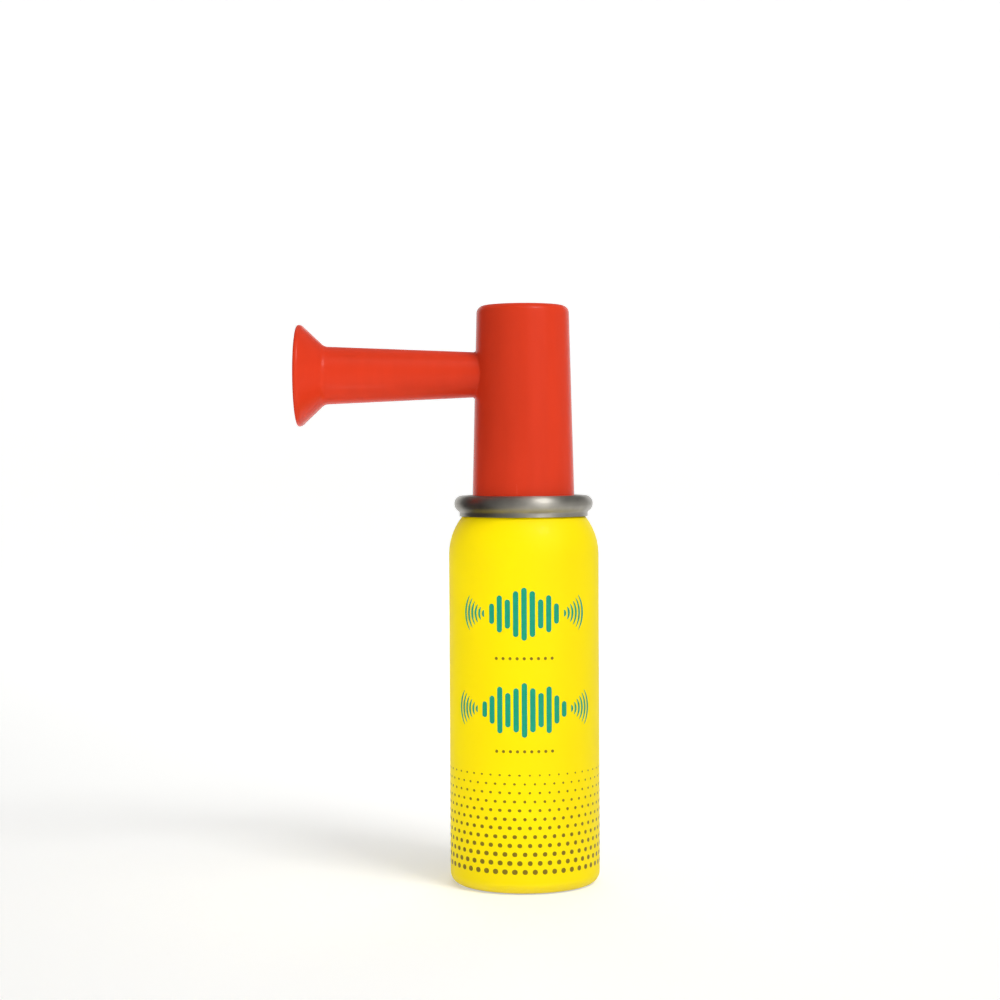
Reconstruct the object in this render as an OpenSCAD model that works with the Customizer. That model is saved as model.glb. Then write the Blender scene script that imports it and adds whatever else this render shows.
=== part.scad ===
// Hand-held air horn: a gas can with a clinched valve cup, and a moulded horn pushed onto the valve's stem.
// Millimetres, +Z up. The origin is the centre of the ring that the can stands on, and the trumpet points to -X.

/* [Can] */
// Outer diameter of the can
can_d = 35; // [31:0.5:42]
// Height from the foot to the top of the rolled bead
can_h = 90; // [75:1:130]
// Wall of the can
can_wall = 0.4; // [0.3:0.05:0.6]
// Thickness of the base
base_t = 0.8; // [0.6:0.1:1.2]
// Radius of the heel
heel_r = 2.6; // [1.6:0.1:3.4]
// Width of the flat ring that the can stands on
foot_w = 1.2; // [0.9:0.1:2]
// Rise of the hollow base
dome_h = 4.5; // [3:0.5:7]
// Radius of the shoulder
shoulder_r = 14; // [12:0.5:17]
// Opening in the top of the can
mouth_d = 25.4; // [24.8:0.1:26]
// Thickness of the rolled bead round the opening
bead_d = 2.9; // [2.6:0.1:3.2]

/* [Valve cup] */
// Sheet of the valve cup
cup_t = 0.3; // [0.2:0.05:0.4]
// Gasket between the cup's rim and the bead
rim_gasket_t = 0.3; // [0.2:0.05:0.5]
// Depth of the rim, down to its lower edge
rim_h = 5.1; // [4.8:0.1:5.4]
// Depth of the rim's roll, down to where the rim is tucked in
roll_h = 4; // [3.8:0.1:4.3]
// Step by which the rim is tucked in under its roll
tuck = 1.05; // [0.8:0.05:1.2]
// Depth of the well below the top of the rim
well_depth = 7.8; // [7.2:0.1:9]
// Outer diameter of the pedestal
pedestal_d = 11.2; // [10.8:0.1:12]
// Distance of the pedestal's top below the top of the rim
pedestal_drop = 0.6; // [0.2:0.1:1.2]

/* [Valve] */
// Outer diameter of the stem
stem_d = 4; // [3.6:0.1:4.4]
// Bore of the stem
stem_bore_d = 1.8; // [1.2:0.1:2.2]
// Height of the stem above the pedestal
stem_reach = 8; // [6:0.5:10]
// Side orifice of the stem
orifice_d = 0.8; // [0.4:0.1:1]
// Travel of the stem
stroke = 1.5; // [1:0.1:2]
// Thickness of the rubber disc that seals the stem
stem_gasket_t = 1.2; // [1:0.1:1.5]
// Length of the spring as fitted
spring_h = 8.7; // [7.5:0.1:10]
// Wire of the spring
spring_wire = 0.5; // [0.4:0.05:0.6]
// Mean diameter of the spring
spring_d = 4.6; // [4.4:0.1:5]
// Turns of the spring
spring_turns = 6.5; // [5:0.5:7]
// Length of the gas inlet under the valve housing
inlet_l = 5; // [3:0.5:8]

/* [Horn] */
// Height of the horn above the rim of the valve cup
horn_rise = 44.3; // [40:0.1:55]
// Gap between the horn and the well, at the rim
horn_gap = 0.45; // [0.4:0.05:1]
// Draft of the horn's side, in degrees
horn_draft = 1.45; // [1:0.05:1.8]
// Wall of the horn round the sounding chamber
horn_wall = 1.5; // [1.2:0.1:1.8]
// Thickness of the closed top
roof_t = 1.6; // [1.2:0.1:2]
// Radius of the top edge
top_edge_r = 1.8; // [1:0.1:2.4]

/* [Trumpet] */
// Distance of the trumpet's axis below the top of the horn
trumpet_drop = 16.1; // [15:0.1:20]
// Reach of the trumpet's mouth from the can's axis
trumpet_reach = 52.8; // [40:0.1:70]
// Diameter of the trumpet where it leaves the horn
trumpet_d = 10.6; // [9.8:0.1:11.6]
// Diameter of the trumpet where the bell begins
trumpet_end_d = 13.6; // [12:0.1:15]
// Wall of the trumpet
trumpet_wall = 1.4; // [1.1:0.1:1.6]
// Length of the bell
bell_l = 6.4; // [5:0.1:10]
// Outer diameter of the bell's mouth
bell_d = 23.8; // [20:0.1:28]
// Width of the lip round the mouth
lip_w = 1; // [0.8:0.1:1.4]

/* [Sounding parts] */
// Thickness of the diaphragm
film_t = 0.2; // [0.1:0.05:0.3]
// Air space over the diaphragm
air_gap = 3; // [2:0.1:4]
// Bore of the throat
throat_d = 6.4; // [5.6:0.1:7]
// Wall of the throat
throat_wall = 1.4; // [1.1:0.1:1.6]
// Thickness of the fins that hold the throat
fin_t = 1.6; // [1.2:0.1:2]

/* [Hidden] */
$fn = 96;

// Largest distance between a drawn bend and the true curve
bend_sag = 0.005;
// Radial play of pieces that are pushed or clinched together
fit = 0.05;
// Space left between pieces that move past each other
play = 0.3;
// Length by which a cut runs past the face that it opens
past = 0.1;

// Can: radii and heights of its outline
can_r = can_d / 2;
mouth_r = mouth_d / 2;
neck_r = mouth_r + can_wall;
neck_z = can_h - bead_d;
neck_bend = 0.5;
bead_r = bead_d / 2;
bead_x = mouth_r + bead_r;
bead_z = can_h - bead_r;
foot_r = can_r - heel_r - foot_w;
foot_bend = 0.6;
dome_r = (foot_r * foot_r + dome_h * dome_h) / (2 * dome_h);
dome_z = dome_h - dome_r;
dome_in_r = sqrt(pow(dome_r + base_t, 2) - pow(base_t - dome_z, 2));
dome_points = 12;
// The shoulder turns until it is this far from the neck, and runs straight from there
neck_run = 0.4;
shoulder_turn = acos((neck_r + neck_run - can_r + shoulder_r) / shoulder_r);
shoulder_z = neck_z - (can_r - neck_r) / tan(shoulder_turn);
// Drop of the inner shoulder's corners below the outer ones
wall_drop = can_wall * tan(shoulder_turn / 2);

// Valve cup: its sheet's middle line
cup_mid = cup_t / 2;
rim_top = can_h + rim_gasket_t + cup_t;
rim_x = mouth_r + bead_d + rim_gasket_t + cup_mid;
rim_z = rim_top - cup_mid;
rim_foot_z = rim_top - rim_h;
tuck_x = rim_x - tuck;
tuck_z = rim_top - roll_h;
tuck_rise = 0.95;
tuck_bend = 0.6;
roll_bend = 1.9;
well_x = mouth_r - fit - cup_mid;
rim_bend = (rim_x - well_x) / 2 - fit;
clinch_drop = 1;
clinch_h = 1.3;
clinch_bend = 0.45;
clinch_z = neck_z - clinch_drop;
clinch_room = (cup_mid + fit) / cos(shoulder_turn);
clinch_x = mouth_r + (clinch_drop - wall_drop) * tan(shoulder_turn) - clinch_room;
floor_top = rim_top - well_depth;
floor_z = floor_top - cup_mid;
well_bend = 1;
pedestal_x = pedestal_d / 2 - cup_mid;
pedestal_top = rim_top - pedestal_drop;
pedestal_bend = 0.6;
pedestal_foot_bend = 0.8;

// Valve: what hangs in the pedestal, from its roof down
stem_r = stem_d / 2;
stem_bore_r = stem_bore_d / 2;
stem_hole_r = stem_r + 2 * play;
stem_top = pedestal_top + stem_reach;
stem_edge = 0.3;
seal_top = pedestal_top - cup_t;
seat_z = seal_top - stem_gasket_t;
seal_r = pedestal_x - cup_mid - pedestal_bend;
collar_h = 1.8;
collar_z = seat_z - collar_h;
collar_r = spring_d / 2 + spring_wire / 2 + play;
spring_z = collar_z - spring_h;
spigot_r = spring_d / 2 - spring_wire / 2 - play;
spigot_z = spring_z + stroke + past;
housing_wall = 1.1;
housing_in_r = collar_r + play + past;
housing_r = housing_in_r + housing_wall;
housing_floor_t = 1.5;
housing_flange_r = pedestal_x - cup_mid - fit;
housing_flange_h = 1.8;
inlet_r = 1.9;
inlet_bore_r = 0.9;
crimp_in = 0.4;
crimp_h = 0.8;
crimp_bend = 0.45;
crimp_z = seat_z - housing_flange_h - fit - crimp_h;

// Spring: rings of points along its wire
spring_sides = 6;
spring_turn_rings = 16;
spring_steps = ceil(spring_turns * spring_turn_rings);
spring_low = spring_z + spring_wire / 2 + fit;
spring_high = collar_z - spring_wire / 2 - fit;

// Horn: its side and the stack of pieces in it
horn_r = well_x - cup_mid - horn_gap;
horn_top = rim_top + horn_rise;
skirt_z = floor_top + stroke + well_bend;
plug_roof_t = 2;
plug_top = stem_top + plug_roof_t;
film_z = horn_top - roof_t - air_gap - film_t;
chamber_r = horn_side(film_z) - horn_wall;
clamp_w = 1.4;
clamp_h = 1.8;
air_r = chamber_r - clamp_w;
plug_ledge = 1;
plug_r = chamber_r + plug_ledge;
plug_wall = 1.4;
plug_l = 7;
socket_wall = 1.6;
socket_r = stem_r + fit;
socket_lead = 0.4;
socket_z = pedestal_top + stroke + play + past;
plug_ribs = 6;
plug_rib_t = 1.2;
plug_rib_up = 1;

// Trumpet: radii along its axis, counted from the can's axis
trumpet_z = horn_top - trumpet_drop;
trumpet_root = horn_side(trumpet_z);
bell_u = trumpet_reach - bell_l;
trumpet_slope = (trumpet_end_d - trumpet_d) / 2 / (bell_u - trumpet_root);
bell_r = bell_d / 2;
bell_bend = 0.8;
bell_wall = 1.25;
lip_bend = 0.35;
bore_bend = 1.2;

// Throat core: the elbow's arm, its fins and the gas entry under it
throat_r = throat_d / 2;
throat_out_r = throat_r + throat_wall;
core_r = chamber_r - fit;
outlet_r = bore_at(chamber_r);
arm_r = outlet_r + throat_wall;
gas_entry_h = 3;
fins = 4;

function horn_side(z) = horn_r - (z - rim_top) * tan(horn_draft);
function trumpet_at(u) = trumpet_d / 2 + (u - trumpet_root) * trumpet_slope;
function bore_at(u) = trumpet_at(u) - trumpet_wall;

// A line through corners [x, y, bend radius], moved to its left by side; a bend of 0 stays sharp
function flat(c) = [c[0], c[1]];
function unit(v) = v / norm(v);
function left(v) = [-v[1], v[0]];
function bend(c, i, side) =
    let (
        p = flat(c[i]),
        back = unit(flat(c[i - 1]) - p),
        ahead = unit(flat(c[i + 1]) - p),
        half = acos(back * ahead) / 2,
        way = sign(cross(-back, ahead)),
        centre = p + unit(back + ahead) * c[i][2] / sin(half),
        start = way * left(back),
        first = atan2(start[1], start[0]),
        sweep = way * (180 - 2 * half),
        count = ceil(abs(sweep) / (2 * acos(1 - bend_sag / c[i][2])))
    )
    [for (k = [0:count])
        centre + (c[i][2] - way * side) * [cos(first + sweep * k / count), sin(first + sweep * k / count)]];
function line_end(c, i, j, side) = flat(c[i]) + side * left(unit(flat(c[max(i, j)]) - flat(c[min(i, j)])));
function path(c, side = 0) = concat(
    [line_end(c, 0, 1, side)],
    [for (i = [1:len(c) - 2]) each c[i][2] > 0 ? bend(c, i, side) : [flat(c[i])]],
    [line_end(c, len(c) - 1, len(c) - 2, side)]
);
function reverse(list) = [for (i = [len(list) - 1:-1:0]) list[i]];

// Points of a dome's outline from the axis outwards, short of its edge
function dome(r, edge) = [for (i = [0:dome_points - 1])
    let (a = asin(edge / r) * i / dome_points)
    [r * sin(a), dome_z + r * cos(a), 0]];

// Middle of the spring's wire, and the ring of points round it, at an angle of turn
function wire(a) = [
    spring_d / 2 * cos(a),
    spring_d / 2 * sin(a),
    spring_low + (spring_high - spring_low) * a / (360 * spring_turns)
];
function wire_ring(a) =
    let (
        outward = [cos(a), sin(a), 0],
        along = unit(wire(a + 1) - wire(a - 1)),
        across = cross(along, outward)
    )
    [for (k = [0:spring_sides - 1])
        let (b = 360 * k / spring_sides)
        wire(a) + spring_wire / 2 * (cos(b) * outward + sin(b) * across)];
function spring_angle(i) = 360 * spring_turns * i / spring_steps;
spring_least_gap = min([
    for (i = [0:spring_steps], j = [i + spring_turn_rings / 2:spring_steps])
        norm(wire(spring_angle(i)) - wire(spring_angle(j)))
]) - spring_wire;
echo("Least gap of the spring to itself", spring_least_gap);

// A bent sheet, drawn along its middle line and turned about the axis
module turned_sheet(corners, thickness) {
    rotate_extrude()
        polygon(concat(path(corners, thickness / 2), reverse(path(corners, -thickness / 2))));
}

// A shape turned about the trumpet's axis, with its length towards the mouth
module on_trumpet() {
    translate([0, 0, trumpet_z])
        rotate([0, -90, 0])
            rotate_extrude()
                children();
}

module can_shell() {
    outside = concat(dome(dome_r, foot_r), [
        [foot_r, 0, foot_bend],
        [can_r, 0, heel_r],
        [can_r, shoulder_z, shoulder_r],
        [neck_r, neck_z, neck_bend],
        [neck_r, bead_z - bead_r / 4]
    ]);
    inside = concat(dome(dome_r + base_t, dome_in_r), [
        [dome_in_r, base_t, foot_bend],
        [can_r - can_wall, base_t, heel_r - can_wall],
        [can_r - can_wall, shoulder_z - wall_drop, shoulder_r - can_wall],
        [mouth_r, neck_z - wall_drop, neck_bend + can_wall],
        [mouth_r, bead_z - bead_r / 4]
    ]);
    color("#FBEC06")
        rotate_extrude()
            union() {
                polygon(concat(path(outside), reverse(path(inside))));
                translate([bead_x, bead_z])
                    circle(bead_r);
            }
}

module valve_cup() {
    rim = [
        [tuck_x, rim_foot_z, 0],
        [tuck_x, tuck_z, tuck_bend],
        [rim_x, tuck_z + tuck_rise, roll_bend],
        [rim_x, rim_z, rim_bend],
        [well_x, rim_z, rim_bend]
    ];
    well = [
        [well_x, clinch_z + (clinch_x - well_x) / tan(shoulder_turn), clinch_bend],
        [clinch_x, clinch_z, clinch_bend],
        [well_x, clinch_z - clinch_h, clinch_bend],
        [well_x, floor_z, well_bend]
    ];
    pedestal = [
        [pedestal_x, floor_z, pedestal_foot_bend],
        [pedestal_x, crimp_z - crimp_h, crimp_bend],
        [pedestal_x - crimp_in, crimp_z, crimp_bend],
        [pedestal_x, crimp_z + crimp_h, crimp_bend],
        [pedestal_x, pedestal_top - cup_mid, pedestal_bend],
        [stem_hole_r, pedestal_top - cup_mid, 0]
    ];
    color("#B9B7B2")
        turned_sheet(concat(rim, well, pedestal), cup_t);
}

module cup_gasket() {
    channel_r = rim_bend - cup_mid;
    color("#4A4A48")
        rotate_extrude()
            difference() {
                intersection() {
                    translate([(rim_x + well_x) / 2, rim_z - rim_bend])
                        circle(channel_r - fit / 2);
                    translate([bead_x - bead_r / 2, bead_z])
                        square(bead_d);
                }
                translate([bead_x, bead_z])
                    circle(bead_r + fit / 2);
            }
}

module valve_housing() {
    floor_low = spring_z - housing_floor_t;
    flange_low = seat_z - housing_flange_h;
    color("#E9E6DC")
        rotate_extrude()
            polygon([
                [inlet_bore_r, floor_low - inlet_l],
                [inlet_r, floor_low - inlet_l],
                [inlet_r, floor_low],
                [housing_r - housing_wall, floor_low],
                [housing_r, floor_low + housing_wall],
                [housing_r, flange_low],
                [housing_flange_r, flange_low],
                [housing_flange_r, seat_z],
                [housing_in_r, seat_z],
                [housing_in_r, spring_z],
                [inlet_bore_r, spring_z]
            ]);
}

module stem_gasket() {
    color("#2B2B2B")
        translate([0, 0, seat_z])
            difference() {
                cylinder(r = seal_r, h = stem_gasket_t);
                translate([0, 0, -past])
                    cylinder(r = stem_r + fit, h = stem_gasket_t + 2 * past);
            }
}

module valve_spring() {
    rings = [for (i = [0:spring_steps]) each wire_ring(spring_angle(i))];
    last = spring_steps * spring_sides;
    low_end = [for (k = [1:spring_sides - 2]) [0, k, k + 1]];
    high_end = [for (k = [1:spring_sides - 2]) [last, last + k + 1, last + k]];
    sides = [for (i = [0:spring_steps - 1], k = [0:spring_sides - 1])
        let (
            a = i * spring_sides + k,
            b = i * spring_sides + (k + 1) % spring_sides
        )
        each [[a, a + spring_sides, b], [b, a + spring_sides, b + spring_sides]]];
    color("#A8A8A4")
        polyhedron(rings, concat(low_end, sides, high_end));
}

module valve_stem() {
    orifice_z = seat_z + stem_gasket_t / 2;
    color("#F2F0EA")
        difference() {
            rotate_extrude()
                polygon([
                    [0, spigot_z],
                    [spigot_r, spigot_z],
                    [spigot_r, collar_z],
                    [collar_r, collar_z],
                    [collar_r, seat_z],
                    [stem_r, seat_z],
                    [stem_r, stem_top - stem_edge],
                    [stem_r - stem_edge, stem_top],
                    [stem_bore_r, stem_top],
                    [stem_bore_r, seat_z],
                    [0, seat_z]
                ]);
            translate([-stem_d, 0, orifice_z])
                rotate([0, 90, 0])
                    cylinder(d = orifice_d, h = 2 * stem_d);
        }
}

module horn_shell() {
    side = [
        [0, skirt_z, 0],
        [horn_side(skirt_z), skirt_z, 0],
        [horn_side(horn_top), horn_top, top_edge_r],
        [0, horn_top, 0]
    ];
    tube = [
        [0, 0, 0],
        [trumpet_at(0), 0, 0],
        [trumpet_end_d / 2, bell_u, bell_bend],
        [bell_r, trumpet_reach - lip_w, lip_bend],
        [bell_r, trumpet_reach, lip_bend],
        [0, trumpet_reach, 0]
    ];
    bore = [
        [0, 0, 0],
        [bore_at(0), 0, 0],
        [bore_at(bell_u), bell_u + trumpet_wall / 2, bore_bend],
        [bell_r - bell_wall, trumpet_reach, 0],
        [bell_r - bell_wall + past, trumpet_reach + past, 0],
        [0, trumpet_reach + past, 0]
    ];
    color("#D62F22")
        difference() {
            union() {
                rotate_extrude()
                    polygon(path(side));
                on_trumpet()
                    polygon(path(tube));
            }
            translate([0, 0, skirt_z - past])
                cylinder(r = plug_r, h = plug_top - skirt_z + past);
            translate([0, 0, plug_top - past])
                cylinder(r = chamber_r, h = film_z + film_t - plug_top + past);
            translate([0, 0, film_z])
                cylinder(r = air_r, h = film_t + air_gap);
            on_trumpet()
                polygon(path(bore));
        }
}

module diaphragm() {
    color("#DDE3E6")
        translate([0, 0, film_z])
            cylinder(r = core_r, h = film_t);
}

module throat_core() {
    clamp_z = film_z - clamp_h;
    color("#C9342A")
        difference() {
            union() {
                translate([0, 0, plug_top])
                    cylinder(r = throat_out_r, h = film_z - plug_top);
                for (i = [0:fins - 1])
                    rotate([0, 0, 360 * i / fins])
                        intersection() {
                            translate([0, -fin_t / 2, plug_top])
                                cube([core_r, fin_t, clamp_z + past - plug_top]);
                            translate([0, 0, plug_top])
                                cylinder(r = core_r, h = clamp_z + past - plug_top);
                        }
                translate([0, 0, clamp_z])
                    difference() {
                        cylinder(r = core_r, h = clamp_h);
                        translate([0, 0, -past])
                            cylinder(r = air_r, h = clamp_h + 2 * past);
                    }
                intersection() {
                    translate([0, 0, trumpet_z])
                        rotate([0, -90, 0])
                            cylinder(r = arm_r, h = chamber_r);
                    translate([0, 0, plug_top])
                        cylinder(r = core_r, h = film_z - plug_top);
                }
            }
            translate([0, 0, plug_top - past])
                cylinder(r = throat_out_r + past, h = gas_entry_h + past);
            translate([0, 0, trumpet_z])
                cylinder(r = throat_r, h = film_z + past - trumpet_z);
            translate([0, 0, trumpet_z])
                sphere(r = throat_r);
            on_trumpet()
                polygon([[0, 0], [throat_r, 0], [outlet_r, chamber_r], [0, chamber_r]]);
        }
}

module inlet_plug() {
    rim_r = plug_r - fit;
    boss_r = socket_r + socket_wall;
    color("#B82A22")
        union() {
            rotate_extrude()
                polygon([
                    [stem_bore_r, plug_top],
                    [stem_bore_r, stem_top],
                    [socket_r, stem_top],
                    [socket_r, socket_z + socket_lead],
                    [socket_r + socket_lead, socket_z],
                    [boss_r, socket_z],
                    [boss_r, stem_top],
                    [rim_r - plug_wall, stem_top],
                    [rim_r - plug_wall, plug_top - plug_l],
                    [rim_r, plug_top - plug_l],
                    [rim_r, plug_top]
                ]);
            for (i = [0:plug_ribs - 1])
                rotate([0, 0, 360 * i / plug_ribs])
                    translate([boss_r - socket_wall / 2, -plug_rib_t / 2, plug_top - plug_l + plug_rib_up])
                        cube([rim_r - plug_wall / 2 - boss_r + socket_wall / 2, plug_rib_t,
                            plug_l - plug_rib_up - plug_roof_t / 2]);
        }
}

can_shell();
valve_cup();
cup_gasket();
valve_housing();
stem_gasket();
valve_spring();
valve_stem();
horn_shell();
diaphragm();
throat_core();
inlet_plug();
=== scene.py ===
"""Hand-held air horn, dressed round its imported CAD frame.

The can, the valve cup, the horn and the valve's spring are finer surfaces in the places of their
solids. The pieces inside them keep their solids and get their materials here. Metres, +Z up, and
the trumpet points to -X.
"""

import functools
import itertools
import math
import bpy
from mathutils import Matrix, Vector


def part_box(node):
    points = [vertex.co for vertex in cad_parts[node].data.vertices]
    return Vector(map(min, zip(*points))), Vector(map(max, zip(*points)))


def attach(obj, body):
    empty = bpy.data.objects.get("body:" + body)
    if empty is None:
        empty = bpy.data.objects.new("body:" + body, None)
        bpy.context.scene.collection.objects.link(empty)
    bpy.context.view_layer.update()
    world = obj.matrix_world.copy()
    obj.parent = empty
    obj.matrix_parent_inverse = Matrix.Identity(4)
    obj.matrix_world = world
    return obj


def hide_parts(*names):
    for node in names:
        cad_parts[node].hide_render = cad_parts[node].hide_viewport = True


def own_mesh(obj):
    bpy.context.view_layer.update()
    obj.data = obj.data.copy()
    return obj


bl_info = {
    "name": "Air horn",
    "version": (1, 0, 0),
    "blender": (4, 5, 0),
    "location": "View3D > Sidebar > Air horn",
    "description": "Builds the visible surfaces, print and studio of a hand-held air horn",
    "category": "Add Mesh",
}

import bmesh
import bpy
import numpy as np
from bpy.props import FloatProperty, FloatVectorProperty, IntProperty, PointerProperty
from bpy.types import Operator, Panel, PropertyGroup
from mathutils import Matrix, Vector

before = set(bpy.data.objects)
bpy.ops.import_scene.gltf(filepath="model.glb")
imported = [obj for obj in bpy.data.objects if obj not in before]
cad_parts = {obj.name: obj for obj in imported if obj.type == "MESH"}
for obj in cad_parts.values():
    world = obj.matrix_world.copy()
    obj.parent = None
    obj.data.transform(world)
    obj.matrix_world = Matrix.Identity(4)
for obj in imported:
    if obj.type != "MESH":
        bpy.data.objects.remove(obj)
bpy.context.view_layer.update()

MM = 0.001
CAN_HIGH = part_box("can_shell")[1]
CUP_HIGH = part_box("valve_cup")[1]
HORN_LOW, HORN_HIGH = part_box("horn_shell")
SPRING_LOW, SPRING_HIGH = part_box("valve_spring")

# Points closer than this are one point
WELD = 0.4e-6
# Largest turn between two points of a bend
BEND_STEP = math.radians(7)
# Edges that turn more than this stay sharp
SHARP_EDGE = math.radians(32)
# Longest faces along the outlines of the can, of the horn outside and of the horn inside
CAN_STEP = 4 * MM
HORN_STEP = 1.5 * MM
BORE_STEP = 1.2 * MM
# Rounds in which the line where two surfaces meet is closed in on
ROUNDS = 60
# Heights of the printed sound bars, from left to right
UPPER_BARS = np.array([4.6, 8.4, 6.6, 10.4, 12.0, 10.4, 6.6, 8.4, 4.6]) * MM
LOWER_BARS = np.array([3.6, 6.4, 10.6, 7.8, 10.0, 12.4, 10.0, 7.8, 10.6, 6.4, 3.6]) * MM
WHITE = (1.0, 1.0, 1.0, 1.0)


def linear(hex_colour):
    """Linear RGBA of an sRGB hex colour: up to 0.04045 a division by 12.92, and above it a power of 2.4."""
    srgb = np.array([int(hex_colour[i:i + 2], 16) / 255 for i in (1, 3, 5)])
    rgb = np.where(srgb <= 0.04045, srgb / 12.92, ((srgb + 0.055) / 1.055) ** 2.4)
    return (*(float(value) for value in rgb), 1.0)


def amount(name, description, default, **kind):
    """A number that a user can set, with its unit or subtype."""
    return FloatProperty(name=name, description=description, default=default, min=0.0, **kind)


def length(name, description, default):
    """A length that a user can set, given in millimetres and kept in metres."""
    return amount(name, description, default * MM, precision=5, unit="LENGTH")


def watts(name, description, default):
    """A lamp's power that a user can set."""
    return amount(name, description, default, precision=4, unit="POWER")


def degrees(name, description, default):
    """An angle that a user can set, given in degrees and kept in radians."""
    default = math.radians(default)
    return FloatProperty(name=name, description=description, default=default, subtype="ANGLE")


def count(name, description, default, least):
    """A whole number that a user can set."""
    return IntProperty(name=name, description=description, default=default, min=least)


def colour(name, description, default):
    """A colour that a user can set, given as sRGB hex and kept as linear RGBA."""
    default = linear(default)
    return FloatVectorProperty(
        name=name, description=description, default=default, size=4, min=0.0, max=1.0, subtype="COLOR"
    )


class CanSettings(PropertyGroup):
    """Sizes of the can's wall and outline."""

    radius: length("Radius", "Outer radius of the can", CAN_HIGH.x / MM)
    height: length("Height", "Height from the foot to the top of the bead", CAN_HIGH.z / MM)
    wall: length("Wall", "Wall of the can", 0.4)
    base: length("Base", "Thickness of the base", 0.8)
    heel: length("Heel", "Radius of the heel", 2.6)
    foot: length("Foot", "Width of the flat ring that the can stands on", 1.2)
    foot_bend: length("Foot bend", "Bend between the foot and the hollow base", 0.6)
    dome: length("Dome", "Rise of the hollow base", 4.5)
    shoulder: length("Shoulder", "Radius of the shoulder", 14)
    mouth: length("Mouth", "Radius of the opening in the top", 12.7)
    bead: length("Bead", "Radius of the rolled bead", 1.45)
    neck_run: length("Neck run", "Width of the straight slope under the neck", 0.4)
    neck_bend: length("Neck bend", "Bend between the shoulder and the neck", 0.5)
    sides: count("Sides", "Faces round the can", 256, 32)


class PrintSettings(PropertyGroup):
    """Sizes of the print on the can: sound bars, sound waves, rows of dots and a fading band of dots."""

    ink: length("Ink", "Thickness of the ink", 0.02)
    upper: length("Upper height", "Height of the upper bars' middle line", 64)
    lower: length("Lower height", "Height of the lower bars' middle line", 42.2)
    bar_width: length("Bar width", "Width of one bar", 1.25)
    bar_pitch: length("Bar pitch", "Distance from one bar to the next", 1.9)
    wave_first: length("First wave", "Radius of the smallest wave", 1.3)
    wave_pitch: length("Wave pitch", "Distance from one wave to the next", 1.05)
    wave_width: length("Wave width", "Width of a wave at its middle", 0.6)
    wave_spread: degrees("Wave spread", "Turn from a wave's middle to its end", 38)
    waves: count("Waves", "Waves on each side of the bars", 6, 1)
    row_upper: length("Upper row", "Height of the row of dots under the upper bars", 53.9)
    row_lower: length("Lower row", "Height of the row of dots under the lower bars", 32.8)
    row_pitch: length("Row pitch", "Distance from one dot of a row to the next", 1.62)
    row_dot: length("Row dot", "Radius of a row's dots", 0.36)
    row_dots: count("Dots in a row", "Dots in each row under the bars", 9, 1)
    dot_low: length("Lowest dots", "Height of the lowest dots in the band", 5.4)
    dot_high: length("Highest dots", "Height of the highest dots in the band", 27.4)
    dot_rows: count("Rows of dots", "Rows in the band of dots", 12, 2)
    dot_columns: count("Dots round", "Dots of the band in one row round the can", 48, 8)
    dot_large: length("Largest dot", "Radius of the band's lowest dots", 0.6)
    dot_small: length("Smallest dot", "Radius of the band's highest dots", 0.22)


class CupSettings(PropertyGroup):
    """Sizes of the valve cup's bent sheet; well, pedestal and bends are those of its middle line."""

    sheet: length("Sheet", "Thickness of the sheet", 0.3)
    rim: length("Rim", "Outer radius of the rolled rim", CUP_HIGH.x / MM)
    top: length("Top", "Height of the top of the rim", CUP_HIGH.z / MM)
    rim_depth: length("Rim depth", "Depth of the rim, down to its lower edge", 4.85)
    rim_bend: length("Rim bend", "Bend of the rim's top", 1.725)
    roll_depth: length("Roll depth", "Depth of the rim's roll, down to where it is tucked in", 3.8)
    roll_bend: length("Roll bend", "Bend under the rim's roll", 1.8)
    tuck: length("Tuck", "Step by which the rim is tucked in under its roll", 1.2)
    tuck_rise: length("Tuck rise", "Height of that step", 0.95)
    tuck_bend: length("Tuck bend", "Bend at the foot of that step", 0.6)
    well: length("Well", "Radius of the well", 12.5)
    well_depth: length("Well depth", "Depth of the well's floor below the rim", 7.8)
    well_bend: length("Well bend", "Bend round the well's floor", 1)
    clinch: length("Clinch", "Radius of the clinch under the bead", 13.239)
    clinch_z: length("Clinch height", "Height of the clinch", 86.1)
    clinch_rise: length("Clinch rise", "Height of the clinch's upper slope", 0.754)
    clinch_drop: length("Clinch drop", "Height of the clinch's lower slope", 1.3)
    clinch_bend: length("Clinch bend", "Bends of the clinch", 0.45)
    pedestal: length("Pedestal", "Radius of the pedestal", 5.45)
    pedestal_foot: length("Pedestal foot", "Bend at the pedestal's foot", 0.8)
    pedestal_top: length("Pedestal top", "Height of the pedestal's top", 90)
    pedestal_edge: length("Pedestal edge", "Bend at the pedestal's top edge", 0.6)
    hole: length("Hole", "Radius of the hole for the stem", 2.6)
    crimp: length("Crimp", "Depth of the crimp round the valve", 0.4)
    crimp_z: length("Crimp height", "Height of the crimp", 85.85)
    crimp_half: length("Crimp half", "Half the height of the crimp", 0.8)
    crimp_bend: length("Crimp bend", "Bends of the crimp", 0.45)
    sides: count("Sides", "Faces round the cup", 256, 32)


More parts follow.
